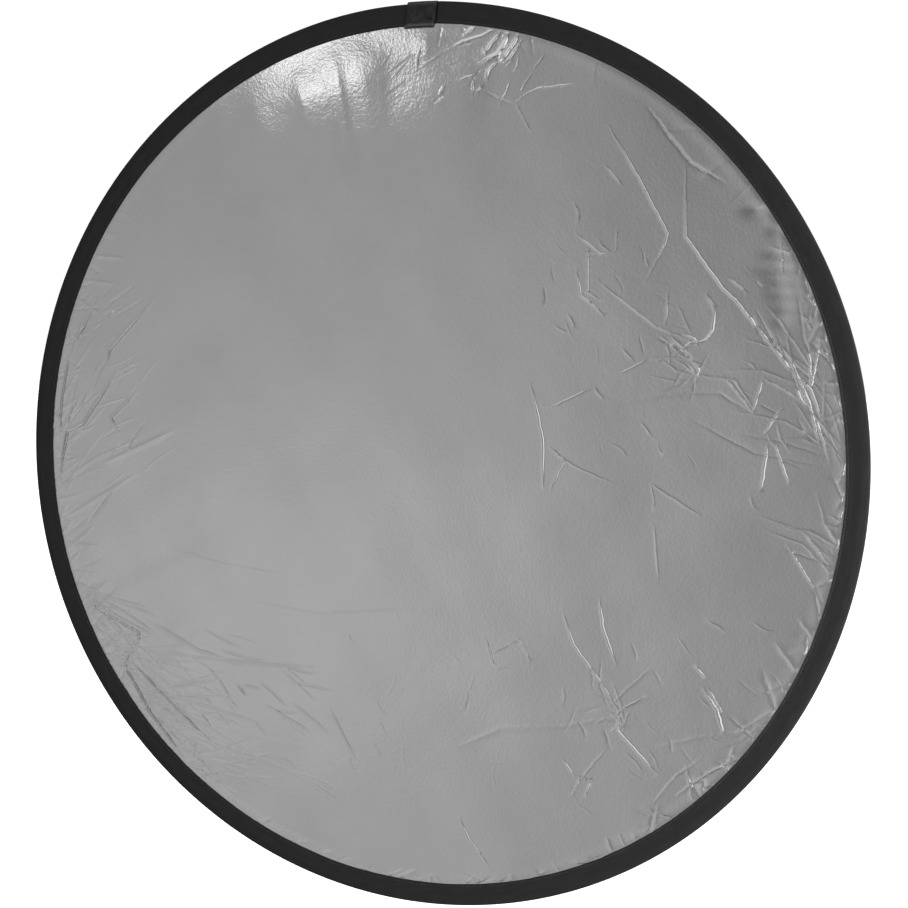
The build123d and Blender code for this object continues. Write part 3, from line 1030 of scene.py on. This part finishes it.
def make_tab():
    front = np.array(tab_path) * mm
    path = smooth_line(np.vstack([front, front[-2::-1] * (1, -1)]), 90)
    step = np.gradient(path, axis=0)
    outward = np.stack([-step[:, 1], step[:, 0]], axis=1)
    outward /= np.hypot(*outward.T)[:, None]
    bar = rounded_bar(tab_thick, tab_width, 0.35 * mm)
    across_face = np.linspace(-1, 1, 15)[1:-1] * (tab_width / 2 - 0.6 * mm)
    under_face = np.stack([np.full(len(across_face), -tab_thick / 2), across_face[::-1]], axis=1)
    section = np.vstack([bar[:6], under_face, bar[6:], -under_face])
    ends = np.ones(len(path))
    ends[[0, -1]] = 0.45
    thick = section[None, :, 0] * ends[:, None]
    sideways = section[None, :, 1] * (1 - 0.02 * (1 - ends[:, None]))
    sink = path[:, None, 0] + outward[:, None, 0] * thick
    height = -(path[:, None, 1] + outward[:, None, 1] * thick)
    flutter = 0.18 * mm * np.sin(sideways * 420 + 1) * np.sign(height)
    radius = disc_radius - sink
    middle = disc_radius - tab_depth
    angle = tab_middle + (sideways + tab_lean * (radius - middle)) / radius
    corners = on_rim(angle, radius, height + flutter * (np.abs(height) > 1 * mm)).reshape(-1, 3)
    faces = quad_faces(len(path), len(section), False, True)
    faces += end_caps(len(section), len(corners))
    along = np.repeat(np.arange(len(path)) * 0.75 * mm, len(section))
    # Lighter bands of the tab's colour: at its front end and where it turns over the rim.
    near_end = np.exp(-((path[:, 0] - 25.2 * mm) / (1.5 * mm)) ** 2)
    near_rim = np.exp(-((path[:, 0] - 1 * mm) / (2 * mm)) ** 2)
    lighter_bands = np.repeat(near_end + 0.5 * near_rim, len(section))
    lay = np.stack([along, np.tile(section[:, 1], len(path)), lighter_bands], axis=1)
    piece = add_piece("tab_webbing", make_mesh("tab_webbing", corners, faces, lay), webbing)
    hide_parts("end_tab")
    bend_with_frame(piece)


make_tab()
tab_stitches = int((tab_width - 3 * mm) / stitch_pitch)
spread = (np.arange(tab_stitches) - (tab_stitches - 1) / 2) * stitch_pitch
angles = tab_middle + (spread + tab_lean * (seam_radius - disc_radius + tab_depth)) / seam_radius
corners, faces, lay = sew(angles, seam_radius, on_tab)
tab_seam = add_piece("tab_stitches", make_mesh("tab_stitches", corners, faces, lay), thread)
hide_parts("tab_stitching")
bend_with_frame(tab_seam)


# ---- Floor, light and camera --------------------------------------------------------------------
def aim(thing, place, target):
    thing.location = place
    thing.rotation_euler = (Vector(target) - Vector(place)).to_track_quat("-Z", "Y").to_euler()


def soft_light(name, place, target, size, power):
    lamp = bpy.data.lights.new(name, "AREA")
    lamp.shape = "RECTANGLE"
    lamp.size, lamp.size_y = size
    lamp.energy = power
    light = add_object(name, lamp)
    light.visible_camera = False
    aim(light, place, target)
    return light


floor_gap = 0.45


def lay_floor():
    half = 30.0
    depth = cad_box[0].z - floor_gap
    corners = [(-half, -half, depth), (half, -half, depth), (half, half, depth), (-half, half, depth)]
    mesh = bpy.data.meshes.new("floor")
    mesh.from_pydata(corners, [], [(0, 1, 2, 3)])
    floor = add_object("floor", mesh)
    finish = new_finish("pale floor")
    grain = finish.noise(finish.node("ShaderNodeTexCoord", {}, output="Object"), 3.0)
    mesh.materials.append(finish.finished(
        Base_Color=finish.blend(grain, grey(0.86), grey(0.88)), Roughness=0.9,
        Emission_Color=grey(1.0), Emission_Strength=0.75
    ))
    floor.visible_diffuse = False
    floor.visible_glossy = False


def light_room():
    """A white room as the camera sees it. The disc sees a grey wall before it, white round that."""
    world = bpy.data.worlds.new("studio")
    bpy.context.scene.world = world
    room = Finish(world)
    way = room.node("ShaderNodeTexCoord", {}, output="Generated")
    right = room.axis(way, 0)
    up = room.axis(way, 2)

    def fade(value, first, last, at_first, at_last):
        inputs = {
            "Value": value, "From Min": first, "From Max": last, "To Min": at_first, "To Max": at_last
        }
        return room.node("ShaderNodeMapRange", {"interpolation_type": "SMOOTHSTEP"}, inputs)

    def toward(direction):
        """Cosine of the angle between a direction and the way looked."""
        inputs = (way, Vector(direction).normalized())
        return room.node("ShaderNodeVectorMath", {"operation": "DOT_PRODUCT"}, inputs, "Value")

    nearness = toward((-0.40, -1, -0.06))
    round_about = fade(nearness, cos(radians(23)), cos(radians(40)), 0, 1)
    left_side = fade(right, -0.85, -0.35, 0.25, 1)
    left_side = left_side + (1 - left_side) * fade(up, 0.05, 0.35, 0, 0.95)
    low_side = fade(up, -0.62, -0.40, 0, 1)
    low_side = low_side + (1 - low_side) * fade(right, -0.60, -0.30, 0.9, 0.16)
    wall = fade(right, -0.45, -0.05, 0.455, 0.195) - fade(up, -0.10, 0.23, 0, 0.085)
    low_left = toward((-0.45, -0.82, -0.18))
    wall = wall + fade(low_left, cos(radians(9)), cos(radians(2)), 0, 0.08)
    beyond = left_side * low_side * fade(right, 0, 0.5, 0.85, 1.15)
    felt = wall * (1 - round_about) + beyond * round_about
    camera_ray = room.node("ShaderNodeLightPath", {}, output="Is Camera Ray")
    seen = room.node("ShaderNodeBackground", {}, {"Color": grey(1), "Strength": 1.05})
    disc_sees = room.node("ShaderNodeBackground", {}, {"Color": grey(1), "Strength": felt})
    mixed = room.node("ShaderNodeMixShader", {}, (camera_ray, disc_sees, seen))
    room.node("ShaderNodeOutputWorld", {}, (mixed,))


lay_floor()
light_room()
soft_light("soft_box_high_left", (-1.70, -3.0, 1.25), (-1.70, 0, 1.25), (0.45, 0.23), 0.49)
beside_disc = soft_light("fill_right", (1.25, -0.85, -0.35), (0.5, 0, -0.1), (0.9, 1.3), 75)
beside_disc.visible_glossy = False

camera_azimuth = radians(22.65)        # to the right of the silver side's axis
camera_elevation = radians(4.29)
camera_distance = 3.257 * disc_radius
camera_target = Vector((0.1128, 0, 0.0218)) * disc_radius
lens = bpy.data.cameras.new("camera")
lens.sensor_width = 36
lens.lens = 58.94
lens.clip_end = 200
camera = add_object("camera", lens)
toward_camera = Vector((
    sin(camera_azimuth) * cos(camera_elevation),
    -cos(camera_azimuth) * cos(camera_elevation),
    sin(camera_elevation),
))
aim(camera, camera_target + toward_camera * camera_distance, camera_target)
bpy.context.scene.camera = camera
bpy.context.scene.view_settings.view_transform = "Standard"
